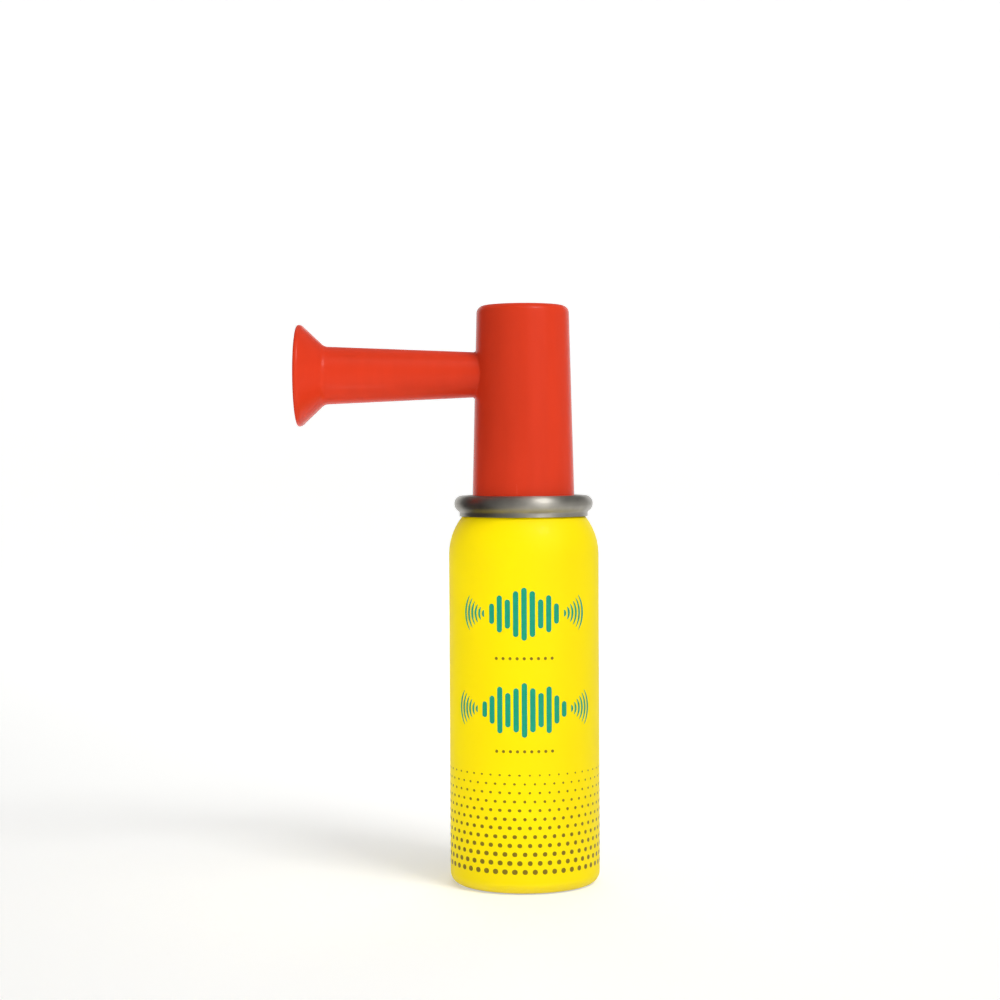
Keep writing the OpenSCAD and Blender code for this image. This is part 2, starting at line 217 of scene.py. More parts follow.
class HornSettings(PropertyGroup):
    """Sizes of the horn's moulding and of its trumpet."""

    foot: length("Foot radius", "Outer radius at the horn's foot", HORN_HIGH.x / MM)
    skirt: length("Skirt", "Height of the horn's foot", HORN_LOW.z / MM)
    top: length("Top", "Height of the horn's top", HORN_HIGH.z / MM)
    draft: degrees("Draft", "Slope of the side", 1.45)
    top_edge: length("Top edge", "Radius of the top edge", 1.8)
    roof: length("Roof", "Thickness of the closed top", 1.6)
    air_gap: length("Air gap", "Air space over the diaphragm", 3)
    air: length("Air radius", "Radius of the air space", 8)
    chamber: length("Chamber", "Radius of the sounding chamber", 9.4)
    plug: length("Plug radius", "Radius of the space for the inlet plug", 10.4)
    plug_top: length("Plug top", "Height of the ledge over the inlet plug", 100)
    axis_drop: length("Axis drop", "Distance of the trumpet's axis below the top", 16.1)
    reach: length("Reach", "Reach of the trumpet's mouth from the can's axis", -HORN_LOW.x / MM)
    tube: length("Tube", "Radius of the trumpet where it leaves the horn", 5.3)
    tube_end: length("Tube end", "Radius of the trumpet where the bell begins", 6.8)
    tube_wall: length("Tube wall", "Wall of the trumpet", 1.4)
    fillet: length("Fillet", "Radius of the fillet at the trumpet's root", 0.5)
    bell: length("Bell length", "Length of the bell", 6.4)
    mouth: length("Mouth", "Radius of the bell's mouth", 11.9)
    mouth_wall: length("Mouth wall", "Wall of the bell at its mouth", 1.25)
    bell_bend: length("Bell bend", "Bend between the trumpet and the bell", 2.2)
    bore_bend: length("Bore bend", "Bend between the bore and the inside of the bell", 1.2)
    lip: length("Lip", "Width of the lip round the mouth", 1)
    lip_back: length("Lip back", "Bend between the bell and its lip", 1.2)
    lip_front: length("Lip front", "Bend at the lip's front edge", 0.45)
    lip_inner: length("Lip inner", "Bend at the lip's inner edge", 0.2)
    sides: count("Sides", "Faces round the horn, a multiple of 8", 192, 64)


class SpringSettings(PropertyGroup):
    """Sizes of the valve's spring."""

    wire: length("Wire", "Radius of the wire", 0.25)
    coil: length("Coil", "Radius of the coil, to the middle of the wire", 2.3)
    seat: length("Seat", "Height of the floor that the spring stands on", 78)
    turns: amount("Turns", "Turns of the spring", 6.5)
    pressed: amount("Pressed", "Share of its length left when pressed", 7.2 / 8.7, subtype="FACTOR")


class ColourSettings(PropertyGroup):
    """Colours of the finishes."""

    lacquer: colour("Lacquer", "Lacquer on the can", "#FDE300")
    bare: colour("Bare metal", "Bare aluminium of the can's base", "#C9CACB")
    ink: colour("Ink", "Ink of the bars and waves", "#189A78")
    brown: colour("Brown ink", "Ink of the dots", "#806C14")
    tin: colour("Tinplate", "Sheet of the valve cup", "#A8A49C")
    red: colour("Red", "Moulded plastic of the horn", "#DD3C1F")
    core: colour("Core", "Moulded plastic inside the horn", "#C2281C")
    white: colour("White", "Moulded plastic of the valve", "#E6E2D6")
    rubber: colour("Rubber", "Seals", "#2A2A2A")
    steel: colour("Steel", "Wire of the spring", "#A9A9A6")
    film: colour("Film", "Film of the diaphragm", "#D5DCE0")
    studio: colour("Studio", "Floor and backdrop", "#F3F3F1")
    # The card paints darker reflections on the object's left; this colour shows only in the viewport
    card: colour("Card", "Card that only reflections see, in the viewport", "#606060")


class StageSettings(PropertyGroup):
    """Camera and lamps."""

    distance: length("Distance", "Distance of the camera from the can's axis", 490)
    eye: length("Eye", "Height of the camera", 99.12)
    aim_x: FloatProperty(
        name="Aim X", description="Place along X that the camera aims at", default=-5.5 * MM, unit="LENGTH"
    )
    aim_z: length("Aim Z", "Height that the camera aims at", 89.49)
    roll: degrees("Roll", "Turn of the camera", -0.28)
    lens: amount("Lens", "Focal length in millimetres", 75.35, unit="CAMERA")
    key: watts("Key", "Power of the large soft lamp on the right", 11.6)
    core: watts("Core", "Power of the key lamp's bright middle", 8.6)
    fill: watts("Fill", "Power of the front lamp", 1.1)
    low_fill: watts("Low fill", "Power of the small low lamp on the left", 0.011)
    back: watts("Back", "Power of the lamp behind the object", 2.6)
    under: watts("Under", "Power of the small lamp under the trumpet", 0.0012)
    room: amount("Room", "Strength of the room's light", 0.24)
    glow: amount("Glow", "Lift of the backdrop towards white", 0.62)


class AirHornSettings(PropertyGroup):
    """Everything that a user can set."""

    can: PointerProperty(type=CanSettings)
    print: PointerProperty(type=PrintSettings)
    cup: PointerProperty(type=CupSettings)
    horn: PointerProperty(type=HornSettings)
    spring: PointerProperty(type=SpringSettings)
    colours: PointerProperty(type=ColourSettings)
    stage: PointerProperty(type=StageSettings)


# Lines and surfaces


def joined(*parts):
    """Points from the arrays of their coordinates."""
    return np.stack(np.broadcast_arrays(*parts), axis=-1)


def bent_line(corners, side=0.0):
    """A line through corners (x, y, bend radius), moved to its left by side.

    Each bend is the arc that touches both straight runs, about a centre at the bend radius from them.
    Its own radius is less by side on a left turn and more on a right turn. A bend of 0 stays sharp.
    """
    points = np.array([corner[:2] for corner in corners])
    runs = np.diff(points, axis=0)
    runs /= np.linalg.norm(runs, axis=1)[:, None]
    lefts = joined(-runs[:, 1], runs[:, 0])
    line = [points[:1] + side * lefts[0]]
    for i in range(1, len(points) - 1):
        radius = corners[i][2]
        turn = math.atan2(lefts[i - 1] @ runs[i], runs[i - 1] @ runs[i])
        if radius == 0:
            line.append(points[i:i + 1] + side * (lefts[i - 1] + lefts[i]) / (1 + lefts[i - 1] @ lefts[i]))
            continue
        way = math.copysign(1.0, turn)
        start = points[i] - runs[i - 1] * radius * math.tan(abs(turn) / 2)
        centre = start + way * radius * lefts[i - 1]
        first = math.atan2(-way * lefts[i - 1][1], -way * lefts[i - 1][0])
        angles = first + turn * np.linspace(0, 1, math.ceil(abs(turn) / BEND_STEP) + 1)
        line.append(centre + (radius - way * side) * joined(np.cos(angles), np.sin(angles)))
    line.append(points[-1:] + side * lefts[-1])
    return np.vstack(line)


def with_steps(line, longest):
    """The same line with points added, evenly, so that no run of it is longer than longest."""
    runs = np.linalg.norm(np.diff(line, axis=0), axis=1)
    counts = np.maximum(np.ceil(runs / longest).astype(int), 1)
    starts = np.repeat(np.arange(len(counts)), counts)
    shares = (np.arange(counts.sum()) - np.repeat(np.cumsum(counts) - counts, counts)) / counts[starts]
    between = line[starts] + shares[:, None] * (line[starts + 1] - line[starts])
    return np.vstack([between, line[-1:]])


def turned(profile, sides, first=-math.pi, last=math.pi):
    """A profile of (radius, height) turned about Z by a, from first to last.

    Its points are x = -r cos a, y = r sin a, z = height.
    """
    angles = np.linspace(first, last, sides + 1)
    radii, heights = profile[:, :1], profile[:, 1:]
    return joined(-radii * np.cos(angles), radii * np.sin(angles), heights)


def on_can(radius, arc, height):
    """Points at an arc length to the right of the can's front.

    They are x = r sin a, y = -r cos a, z = height, with a = arc / r.
    """
    angle = arc / radius
    return joined(radius * np.sin(angle), -radius * np.cos(angle), height)


def grid_faces(rows, columns, hole=None):
    """Corner numbers of a grid's faces.

    hole is the first row, last row, first column and last column of a part left open.
    """
    number = np.arange(rows * columns).reshape(rows, columns)
    faces = joined(number[:-1, :-1], number[:-1, 1:], number[1:, 1:], number[1:, :-1])
    keep = np.ones(faces.shape[:2], dtype=bool)
    if hole:
        keep[hole[0]:hole[1], hole[2]:hole[3]] = False
    return faces[keep]


def new_mesh(name, grids, material, windows=()):
    """A mesh from grids of points; windows are the openings of the first grids, in their order."""
    points, faces, first = [], [], 0
    for grid, window in itertools.zip_longest(grids, windows):
        points.append(grid.reshape(-1, 3))
        faces.append(grid_faces(*grid.shape[:2], window) + first)
        first += len(points[-1])
    mesh = bpy.data.meshes.new(name)
    mesh.from_pydata(np.vstack(points).tolist(), [], np.vstack(faces).tolist())
    mesh.materials.append(material)
    return mesh


def new_object(name, data):
    """An object in the scene that holds a mesh, a lamp or a camera."""
    item = bpy.data.objects.new(name, data)
    bpy.context.scene.collection.objects.link(item)
    return item


def make_piece(name, grids, material, body, windows=()):
    """A piece of the object from grids, joined where they meet, with its faces outwards."""
    mesh = new_mesh(name, grids, material, windows)
    shape = bmesh.new()
    shape.from_mesh(mesh)
    bmesh.ops.remove_doubles(shape, verts=shape.verts, dist=WELD)
    bmesh.ops.dissolve_degenerate(shape, edges=shape.edges, dist=WELD / 4)
    bmesh.ops.recalc_face_normals(shape, faces=shape.faces)
    shape.to_mesh(mesh)
    shape.free()
    mesh.shade_smooth()
    mesh.set_sharp_from_angle(angle=SHARP_EDGE)
    piece = new_object(name, mesh)
    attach(piece, body)
    return piece


# Materials


def set_inputs(node, inputs):
    """Gives a node's inputs, by name or in their order, their values or links.

    A link comes from a socket, or from another node's first output in use.
    """
    pairs = inputs.items() if isinstance(inputs, dict) else enumerate(inputs)
    for socket, value in pairs:
        if isinstance(value, bpy.types.Node):
            value = next(output for output in value.outputs if output.enabled)
        if isinstance(value, bpy.types.NodeSocket):
            node.id_data.links.new(value, node.inputs[socket])
        else:
            node.inputs[socket].default_value = value


def add_node(tree, kind, inputs=(), **fields):
    """A shader node of that kind, with its fields set and its inputs given."""
    node = tree.nodes.new("ShaderNode" + kind)
    for field, value in fields.items():
        setattr(node, field, value)
    set_inputs(node, inputs)
    return node


def new_material(name, base):
    """A material, what adds nodes to it, the shader on its output, and the object's own coordinates."""
    material = bpy.data.materials.new(name)
    material.use_nodes = True
    material.diffuse_color = base
    material.node_tree.nodes.clear()
    add = functools.partial(add_node, material.node_tree)
    shader = add("BsdfPrincipled")
    add("OutputMaterial", {"Surface": shader})
    return material, add, shader, add("TexCoord").outputs["Object"]


def shade(base, factor):
    """A colour made darker or lighter by a factor."""
    return (*(min(channel * factor, 1.0) for channel in base[:3]), 1.0)


def mottled(add, place, base, size, detail, dark, light):
    """Noise with spots of that size, and the base colour made darker and lighter by it."""
    noise = add("TexNoise", {"Vector": place, "Scale": 1 / size, "Detail": detail})
    shades = {"Factor": noise, "A": shade(base, dark), "B": shade(base, light)}
    return noise, add("Mix", shades, data_type="RGBA")


def from_axis(add, axes):
    """Distance from the Z axis, sqrt(x^2 + y^2)."""
    flat = add("CombineXYZ", [axes["X"], axes["Y"]])
    return add("VectorMath", [flat], operation="LENGTH")


# Every MapRange below has the value, the range that it comes from and the range that it goes to


def lacquered_aluminium(can, colours):
    """Yellow printing lacquer, rolled on a drawn aluminium can and baked under a clear varnish.

    It is glossy, with a faint orange peel, thins towards the heel where cans rub, and stops short of
    the bare base.
    """
    base = tuple(colours.lacquer)
    material, add, shader, place = new_material("lacquered aluminium", base)
    axes = add("SeparateXYZ", [place]).outputs
    height = axes["Z"]
    # Patches of about 12 mm where the lacquer lies thinner or thicker
    patches, tint = mottled(add, place, base, 12 * MM, 0.0, 0.96, 1.03)
    gloss = add("MapRange", [patches, 0.0, 1.0, 0.44, 0.56])
    # Rub marks of about 1 mm, only on the lowest 3 mm
    rubs = add("TexNoise", {"Vector": place, "Scale": 1 / (1.1 * MM), "Detail": 4.0})
    low = add("MapRange", [height, 0.3 * MM, 3 * MM, 0.14, 0.0])
    worn = add("Math", [rubs, low], operation="MULTIPLY")
    # The lacquer ends 0.3 mm above the foot, on the turn of the heel
    edge = add("MapRange", [height, 0.2 * MM, 0.35 * MM, 1.0, 0.0])
    # The hollow base is bare too, from the middle of the foot's flat ring inwards
    ring = can.radius - can.heel - can.foot / 2
    inside = add("MapRange", [from_axis(add, axes), ring - 0.1 * MM, ring + 0.1 * MM, 1.0, 0.0])
    low_down = add("Math", [height, 2 * can.dome], operation="LESS_THAN")
    hollow = add("Math", [inside, low_down], operation="MULTIPLY")
    metal = add("Math", [edge, hollow], operation="MAXIMUM")
    bare = add("Math", [metal, worn], operation="MAXIMUM")
    mixed = add("Mix", {"Factor": bare, "A": tint, "B": tuple(colours.bare)}, data_type="RGBA")
    # Orange peel with waves of about 0.7 mm, a few thousandths of a millimetre high
    peel = add("TexNoise", {"Vector": place, "Scale": 1 / (0.7 * MM), "Detail": 2.0})
    bump = add("Bump", {"Height": peel, "Strength": 0.06, "Distance": 0.05 * MM})
    set_inputs(shader, {
        "Base Color": mixed,
        "Metallic": metal,
        "Roughness": gloss,
        "Normal": bump,
        "IOR": 1.5,
        "Specular IOR Level": 0.1,
        "Coat Weight": 0.04,
        "Coat Roughness": 0.12,
    })
    return material


def printing_ink(name, base):
    """Printing ink under the can's varnish: even and glossy, with a slight mottle where the roller lifted."""
    base = tuple(base)
    material, add, shader, place = new_material(name, base)
    # Mottle of about 0.8 mm
    tint = mottled(add, place, base, 0.8 * MM, 3.0, 0.86, 1.14)[1]
    set_inputs(shader, {"Base Color": tint, "Roughness": 0.36, "IOR": 1.5, "Specular IOR Level": 0.2})
    return material


def tinplate(colours):
    """Tin-plated steel sheet, drawn and rolled: a warm grey with fine marks that run round the rim.

    The marks spread its shine across them, so that a lamp shows in the rim as an upright band.
    """
    base = tuple(colours.tin)
    material, add, shader, place = new_material("tinplate", base)
    axes = add("SeparateXYZ", [place]).outputs
    turn = add("Math", [axes["Y"], axes["X"]], operation="ARCTAN2")
    # A turn counts as 3 mm here, so that each mark is many times longer than it is wide
    along = add("Math", [turn, 0.5 * MM], operation="MULTIPLY")
    polar = add("CombineXYZ", [from_axis(add, axes), along, axes["Z"]])
    # Marks of about 0.25 mm
    marks = add("TexNoise", {"Vector": polar, "Scale": 1 / (0.25 * MM), "Detail": 3.0})
    gloss = add("MapRange", [marks, 0.3, 0.7, 0.38, 0.5])
    bump = add("Bump", {"Height": marks, "Strength": 0.1, "Distance": 0.02 * MM})
    round_rim = add("Tangent", direction_type="RADIAL", axis="Z")
    # Spots of about 2 mm where the tin is duller
    tint = mottled(add, place, base, 2 * MM, 4.0, 0.82, 1.12)[1]
    set_inputs(shader, {
        "Base Color": tint,
        "Metallic": 1.0,
        "Roughness": gloss,
        "Normal": bump,
        "Anisotropic": 0.88,
        "Anisotropic Rotation": 0.25,
        "Tangent": round_rim,
    })
    return material


def moulded_polyethylene(colours):
    """Red polyethylene, injection moulded in a polished mould with its parting line along the trumpet.

    It has a soft gloss, a faint ripple, streaks of flow down the side and a thin witness line where
    the mould parts.
    """
    base = tuple(colours.red)
    material, add, shader, place = new_material("moulded polyethylene", base)
    stretched = add("Mapping", {"Vector": place, "Scale": (1.0, 1.0, 0.12)})
    # Flow streaks about 3 mm wide and eight times as long
    streaks, tint = mottled(add, stretched, base, 3 * MM, 3.0, 0.93, 1.05)
    gloss = add("MapRange", [streaks, 0.0, 1.0, 0.2, 0.3])
    # The witness line is 0.16 mm wide, on the plane through both axes
    across = add("SeparateXYZ", [place]).outputs["Y"]
    off = add("Math", [across], operation="ABSOLUTE")
    witness = add("MapRange", [off, 0.02 * MM, 0.08 * MM, 1.0, 0.0])
    # Ripple of about 0.9 mm
    ripple = add("TexNoise", {"Vector": place, "Scale": 1 / (0.9 * MM), "Detail": 2.0})
    relief = add("Math", [ripple, witness], operation="ADD")
    bump = add("Bump", {"Height": relief, "Strength": 0.08, "Distance": 0.06 * MM})
    set_inputs(shader, {
        "Base Color": tint,
        "Roughness": gloss,
        "Normal": bump,
        "IOR": 1.51,
        "Specular IOR Level": 0.12,
    })
    return material


def inner_material(name, base, roughness, grain, metallic=0.0, ior=1.5):
    """A plain finish of an inner piece: its colour, gloss and bump vary with a grain of that size."""
    base = tuple(base)
    material, add, shader, place = new_material(name, base)
    noise, tint = mottled(add, place, base, grain, 4.0, 0.88, 1.1)
    gloss = add("MapRange", [noise, 0.0, 1.0, roughness - 0.06, roughness + 0.06])
    bump = add("Bump", {"Height": noise, "Strength": 0.1, "Distance": grain / 10})
    set_inputs(shader, {
        "Base Color": tint,
        "Metallic": metallic,
        "Roughness": gloss,
        "Normal": bump,
        "IOR": ior,
    })
    return material


def studio_paper(colours, glow):
    """Matt white paper off a roll, with fibres of about 2 mm.

    What the camera, metal and clear pieces see of it is lifted to white, and its shadow stays.
    """
    base = tuple(colours.studio)
    material, add, shader, place = new_material("studio paper", base)
    tint = mottled(add, place, base, 2 * MM, 2.0, 0.99, 1.01)[1]
    ray = add("LightPath").outputs
    seen = add("Math", [ray["Is Camera Ray"], ray["Is Glossy Ray"]], operation="MAXIMUM")
    seen = add("Math", [seen, ray["Is Transmission Ray"]], operation="MAXIMUM")
    # The lift grows with y - 1.2 |x|, towards the back, where less of the lamps' light arrives
    axes = add("SeparateXYZ", [place]).outputs
    aside = add("Math", [axes["X"]], operation="ABSOLUTE")
    behind = add("Math", [aside, -1.2, axes["Y"]], operation="MULTIPLY_ADD")
    lift = add("MapRange", [behind, -0.7, 0.7, 0.0, glow])
    set_inputs(shader, {
        "Base Color": tint,
        "Roughness": 0.9,
        "Specular IOR Level": 0.1,
        "Emission Color": WHITE,
        "Emission Strength": add("Math", [seen, lift], operation="MULTIPLY"),
    })
    return material


def grey_card(colours):
    """Matt grey card that gets darker from its front edge round to the left of the object. This darkening is
    painted shade that only reflections see: it paints darker reflections into the metal rim and glossy sides
    on the object's left.
    """
    material, add, shader, place = new_material("grey card", tuple(colours.card))
    axes = add("SeparateXYZ", [place]).outputs
    left = add("Math", [axes["X"], -1.0], operation="MULTIPLY")
    turn = add("Math", [axes["Y"], left], operation="ARCTAN2")
    # Painted shade: the card's grey falls towards the left, so that the reflections there are darker
    grey = add("MapRange", [turn, math.radians(-75), math.radians(-20), 0.65, 0.1])
    set_inputs(shader, {"Base Color": grey, "Roughness": 0.9, "Specular IOR Level": 0.0})
    return material


# Pieces


def can_profile(can):
    """The can's closed outline from the axis under the base, over the bead and back to the axis inside.

    The base is a sphere cap, z = c + sqrt(R^2 - r^2). Foot, heel, shoulder and neck are arcs between
    straight runs, and the bead is a circle that the neck runs into.
    """
    dome_points, bead_points = 25, 40
    foot = can.radius - can.heel - can.foot
    cap = (foot**2 + can.dome**2) / (2 * can.dome)
    cap_z = can.dome - cap
    neck = can.mouth + can.wall
    neck_z = can.height - 2 * can.bead
    turn = math.acos((neck + can.neck_run - can.radius + can.shoulder) / can.shoulder)
    shoulder_z = neck_z - (can.radius - neck) / math.tan(turn)
    drop = can.wall * math.tan(turn / 2)
    bead_z = can.height - can.bead
    inner_foot = math.sqrt((cap + can.base) ** 2 - (can.base - cap_z) ** 2)

    def dome(radius, edge):
        """The cap's arc from the axis to its edge: r = R sin a, z = c + R cos a."""
        angles = np.linspace(0, math.asin(edge / radius), dome_points)[:-1]
        return joined(radius * np.sin(angles), cap_z + radius * np.cos(angles))

    def side(points, tail):
        """A bent line that goes on from the last of the points."""
        return bent_line([(*points[-1], 0)] + tail)[1:]

    under = dome(cap, foot)
    over = dome(cap + can.base, inner_foot)
    inner = can.radius - can.wall
    meet = math.acos((neck - can.mouth - can.bead) / can.bead)
    outside = side(under, [
        (foot, 0, can.foot_bend),
        (can.radius, 0, can.heel),
        (can.radius, shoulder_z, can.shoulder),
        (neck, neck_z, can.neck_bend),
        (neck, bead_z - can.bead * math.sin(meet), 0),
    ])
    inside = side(over, [
        (inner_foot, can.base, can.foot_bend),
        (inner, can.base, can.heel - can.wall),
        (inner, shoulder_z - drop, can.shoulder - can.wall),
        (can.mouth, neck_z - drop, can.neck_bend + can.wall),
        (can.mouth, bead_z, 0),
    ])
    angles = np.linspace(-meet, math.pi, bead_points)[1:-1]
    bead_r = can.mouth + can.bead
    bead = joined(bead_r + can.bead * np.cos(angles), bead_z + can.bead * np.sin(angles))
    return np.vstack([under, outside, bead, inside[::-1], over[::-1]])


def cup_profile(cup):
    """The valve cup's sheet as one closed outline.

    It is the sheet's middle line, moved by half the sheet's thickness to each side.
    """
    half = cup.sheet / 2
    rim = cup.rim - half
    floor = cup.top - cup.well_depth - half
    post = cup.pedestal
    middle = [
        (rim - cup.tuck, cup.top - cup.rim_depth, 0),
        (rim - cup.tuck, cup.top - cup.roll_depth, cup.tuck_bend),
        (rim, cup.top - cup.roll_depth + cup.tuck_rise, cup.roll_bend),
        (rim, cup.top - half, cup.rim_bend),
        (cup.well, cup.top - half, cup.rim_bend),
        (cup.well, cup.clinch_z + cup.clinch_rise, cup.clinch_bend),
        (cup.clinch, cup.clinch_z, cup.clinch_bend),
        (cup.well, cup.clinch_z - cup.clinch_drop, cup.clinch_bend),
        (cup.well, floor, cup.well_bend),
        (post, floor, cup.pedestal_foot),
        (post, cup.crimp_z - cup.crimp_half, cup.crimp_bend),
        (post - cup.crimp, cup.crimp_z, cup.crimp_bend),
        (post, cup.crimp_z + cup.crimp_half, cup.crimp_bend),
        (post, cup.pedestal_top - half, cup.pedestal_edge),
        (cup.hole, cup.pedestal_top - half, 0),
    ]
    left, right = bent_line(middle, half), bent_line(middle, -half)
    return np.vstack([left, right[::-1], left[:1]])


def horn_grids(horn):
    """The horn's moulding as grids that meet, and the windows left open in the first two.

    Outer and inner walls are turned about Z. Round the trumpet a square window is left out of each,
    and filled by rings that run from the edge of the trumpet's hole to the window's edge. The root's
    fillet is the path of a ball of radius f that rolls in the corner: its centre lies at f from both
    cones, and each of its arcs goes from one contact to the other.
    """
    fillet_rows, ring_rows, tube_rows = 9, 17, 9
    # Above 1, the rows of a ring crowd towards the hole
    crowding = 1.4
    axis_z = horn.top - horn.axis_drop
    slope = math.tan(horn.draft)
    root = horn.foot - (axis_z - horn.skirt) * slope
    bell_u = horn.reach - horn.bell
    flare = (horn.tube_end - horn.tube) / (bell_u - root)
    roof_z = horn.top - horn.roof
    film_z = roof_z - horn.air_gap

    def side(z):
        """Outer radius of the horn at a height: it falls evenly with the draft."""
        return horn.foot - (z - horn.skirt) * slope

    def tube(u):
        """Outer radius of the trumpet at a distance u from the can's axis: it grows evenly."""
        return horn.tube + (u - root) * flare

    def bore(u):
        """Inner radius of the trumpet at a distance u."""
        return tube(u) - horn.tube_wall

    def on_tube(u, q):
        """Points round the trumpet's axis: x = -u, y = q sin t, z = axis + q cos t."""
        return joined(-u, q * np.sin(around), axis_z + q * np.cos(around))

    cells = horn.sides // 4
    angles = np.linspace(-math.pi, math.pi, horn.sides + 1)
    first_column = (horn.sides - cells) // 2
    half = root * math.pi / 4
    window_z = np.linspace(axis_z - half, axis_z + half, cells + 1)

    lower = np.array([[horn.foot, horn.skirt], [side(window_z[0]), window_z[0]]])
    lower = with_steps(lower, HORN_STEP)
    upper = bent_line([
        (side(window_z[-1]), window_z[-1], 0),
        (side(horn.top), horn.top, horn.top_edge),
        (0, horn.top, 0),
    ])
    outer = np.vstack([
        [[horn.plug, horn.skirt]],
        lower,
        joined(side(window_z), window_z)[1:],
        with_steps(upper, HORN_STEP)[1:],
    ])
    first_row = len(lower)
    start = np.array([
        [horn.plug, horn.skirt],
        [horn.plug, horn.plug_top],
        [horn.chamber, horn.plug_top],
        [horn.chamber, window_z[0]],
    ])
    start = with_steps(start, BORE_STEP)
    inner = np.vstack([
        start,
        joined(horn.chamber, window_z[1:]),
        [[horn.chamber, film_z], [horn.air, film_z], [horn.air, roof_z], [0, roof_z]],
    ])
    inner_row = len(start) - 1

    # The window's edge, point by point: along its foot, up, back along its top and down
    step = np.arange(cells)
    rows = np.concatenate([0 * step, step, 0 * step + cells, cells - step, [0]])
    columns = np.concatenate([step, 0 * step + cells, cells - step, 0 * step, [0]])
    edge_a = angles[first_column + columns]
    edge_z = window_z[rows]
    around = np.arctan2(root * edge_a, edge_z - axis_z)

    # Centre of the rolling ball, found by repeating u = sqrt(r^2 - y^2) on both moved cones
    beta = math.atan(flare)
    u = np.full_like(around, root)
    for _ in range(ROUNDS):
        q = tube(u) + horn.fillet / math.cos(beta)
        far = side(axis_z + q * np.cos(around)) + horn.fillet / math.cos(horn.draft)
        u = np.sqrt(far**2 - (q * np.sin(around)) ** 2)
    ball = on_tube(u, q)
    out = ball * [1, 1, 0]
    out /= np.linalg.norm(out, axis=1)[:, None]
    to_body = -(math.cos(horn.draft) * out + math.sin(horn.draft) * np.array([0, 0, 1]))
    ray = joined(0, np.sin(around), np.cos(around))
    to_tube = -(math.cos(beta) * ray + math.sin(beta) * np.array([1, 0, 0]))
    sweep = np.arccos(np.sum(to_body * to_tube, axis=1))[:, None]
    share = np.linspace(0, 1, fillet_rows)[:, None, None]
    arcs = (np.sin((1 - share) * sweep) * to_body + np.sin(share * sweep) * to_tube) / np.sin(sweep)
    fillet = ball + horn.fillet * arcs

    def ring(radius, hole):
        """Rows from the hole's edge to the window's, straight in angle and height, at that radius."""
        run = np.linspace(0, 1, ring_rows)[:, None] ** crowding
        hole_a = np.arctan2(hole[:, 1], -hole[:, 0])
        a = hole_a + run * (edge_a - hole_a)
        z = hole[:, 2] + run * (edge_z - hole[:, 2])
        r = radius(z)
        return joined(-r * np.cos(a), r * np.sin(a), z)

    # The bore's edge in the chamber, found in the same way
    mouth_u = np.full_like(around, horn.chamber)
    for _ in range(ROUNDS):
        mouth_u = np.sqrt(horn.chamber**2 - (bore(mouth_u) * np.sin(around)) ** 2)
    opening = on_tube(mouth_u, bore(mouth_u))

    # The tube outside, the bell, its lip and the bore, from one round section to another near the root
    out_u = root + 4 * MM
    in_u = root + 2 * MM
    line = bent_line([
        (out_u, tube(out_u), 0),
        (bell_u, horn.tube_end, horn.bell_bend),
        (horn.reach - horn.lip, horn.mouth, horn.lip_back),
        (horn.reach, horn.mouth, horn.lip_front),
        (horn.reach, horn.mouth - horn.mouth_wall, horn.lip_inner),
        (bell_u + horn.tube_wall / 2, bore(bell_u), horn.bore_bend),
        (in_u, bore(in_u), 0),
    ])
    line = with_steps(line, HORN_STEP)
    run = np.linspace(0, 1, tube_rows)[:, None]
    leave = -fillet[-1][:, 0]
    leave = leave + run * (out_u - leave)
    arrive = in_u + run * (mouth_u - in_u)
    grids = [
        turned(outer, horn.sides),
        turned(inner, horn.sides),
        ring(side, fillet[0]),
        fillet,
        on_tube(leave, tube(leave)),
        on_tube(line[:, :1], line[:, 1:]),
        on_tube(arrive, bore(arrive)),
        ring(lambda z: horn.chamber, opening),
    ]
    windows = [(row, row + cells, first_column, first_column + cells) for row in (first_row, inner_row)]
    return grids, windows


def spring_grid(spring, low, high):
    """The spring's wire: a circle of the wire's radius carried along a helix, closed at both ends.

    The helix is x = c cos a, y = c sin a, z = low + (high - low) a / (2 pi turns).
    """
    turn_points, wire_sides = 48, 14
    full = 2 * math.pi * spring.turns
    a = np.linspace(0, full, int(spring.turns * turn_points) + 1)
    a = np.concatenate([a[:1], a, a[-1:]])[:, None]
    b = np.linspace(0, 2 * math.pi, wire_sides + 1)
    size = np.full_like(a, spring.wire)
    size[[0, -1]] = 0
    rise = (high - low - 2 * spring.wire) / full
    tilt = math.atan2(rise, spring.coil)
    outward = spring.coil + size * np.cos(b)
    aside = size * np.sin(b)
    x = outward * np.cos(a) + aside * math.sin(tilt) * np.sin(a)
    y = outward * np.sin(a) - aside * math.sin(tilt) * np.cos(a)
    z = low + spring.wire + rise * a + aside * math.cos(tilt)
    return joined(x, y, z)


def ink_patches(can, ink, arc, height):
    """Thin patches on the can's side from their outlines, one row of arc lengths and heights for each.

    Each patch is closed: its middle and outline under the surface, then its outline and middle over it.
    """
    middle = np.broadcast_to(arc[:, :-1].mean(axis=1, keepdims=True), arc.shape)
    level = np.broadcast_to(height[:, :-1].mean(axis=1, keepdims=True), arc.shape)
    under, over = can.radius - ink, can.radius + ink
    layers = [
        on_can(under, middle, level),
        on_can(under, arc, height),
        on_can(over, arc, height),
        on_can(over, middle, level),
    ]
    return list(np.stack(layers, axis=1))


def in_a_row(number, pitch):
    """Arc lengths of marks at that pitch, side by side about the can's front."""
    return (np.arange(number) - (number - 1) / 2) * pitch


